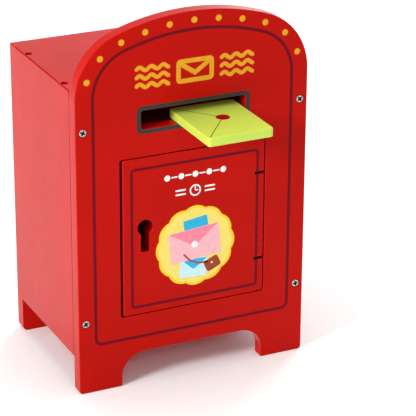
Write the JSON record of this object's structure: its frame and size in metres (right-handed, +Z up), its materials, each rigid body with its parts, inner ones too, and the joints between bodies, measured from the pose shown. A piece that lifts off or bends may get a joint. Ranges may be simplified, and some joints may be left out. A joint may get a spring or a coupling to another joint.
{
  "type": "toy post box",
  "caption": "Wooden toy post box with an arched front board, a letter slot, a hinged collection door with a keyhole, and a wooden letter that slides in through the slot.",
  "frame": {"origin": "on the ground, at the centre of the overall box with the half-posted letter included; the front face is 37.5 mm in front of it and the back face 88.5 mm behind it", "axes": "+Z up, -Y is the front that the door and the slot are in, +X is to the right of someone facing the front"},
  "size_m": [0.18, 0.177, 0.279],
  "materials": {
    "paint_red": "satin red paint on fibreboard",
    "letter_green": "satin lime green paint on fibreboard",
    "bare_wood": "bare beech",
    "screw_steel": "zinc plated",
    "hinge_steel": "blackened steel wire",
    "magnet": "grey ferrite"
  },
  "bodies": {
    "root": {"front_panel": "paint_red", "left_side_panel": "paint_red", "right_side_panel": "paint_red", "top_panel": "paint_red", "floor_panel": "paint_red", "rear_panel": "paint_red", "front_panel_screws": "screw_steel", "rear_panel_screws": "screw_steel", "top_panel_screws": "screw_steel", "floor_dowels": "bare_wood", "upper_hinge_eye": "hinge_steel", "lower_hinge_eye": "hinge_steel", "door_stop": "bare_wood", "catch_magnet": "magnet"},
    "door": {"door_panel": "paint_red", "upper_hinge_pin": "hinge_steel", "lower_hinge_pin": "hinge_steel", "catch_screw": "screw_steel"},
    "letter": {"letter_tile": "letter_green"}
  },
  "joints": [
    {"name": "door_hinge", "type": "hinge", "parent": "root", "child": "door", "pos_m": [0.0517, -0.0348, 0.116], "axis": [0, 0, 1], "range_deg": [0, 110]},
    {"name": "letter_slide", "type": "slide", "parent": "root", "child": "letter", "axis": [0, 1, 0], "range_m": [-0.01, 0.063]}
  ]
}
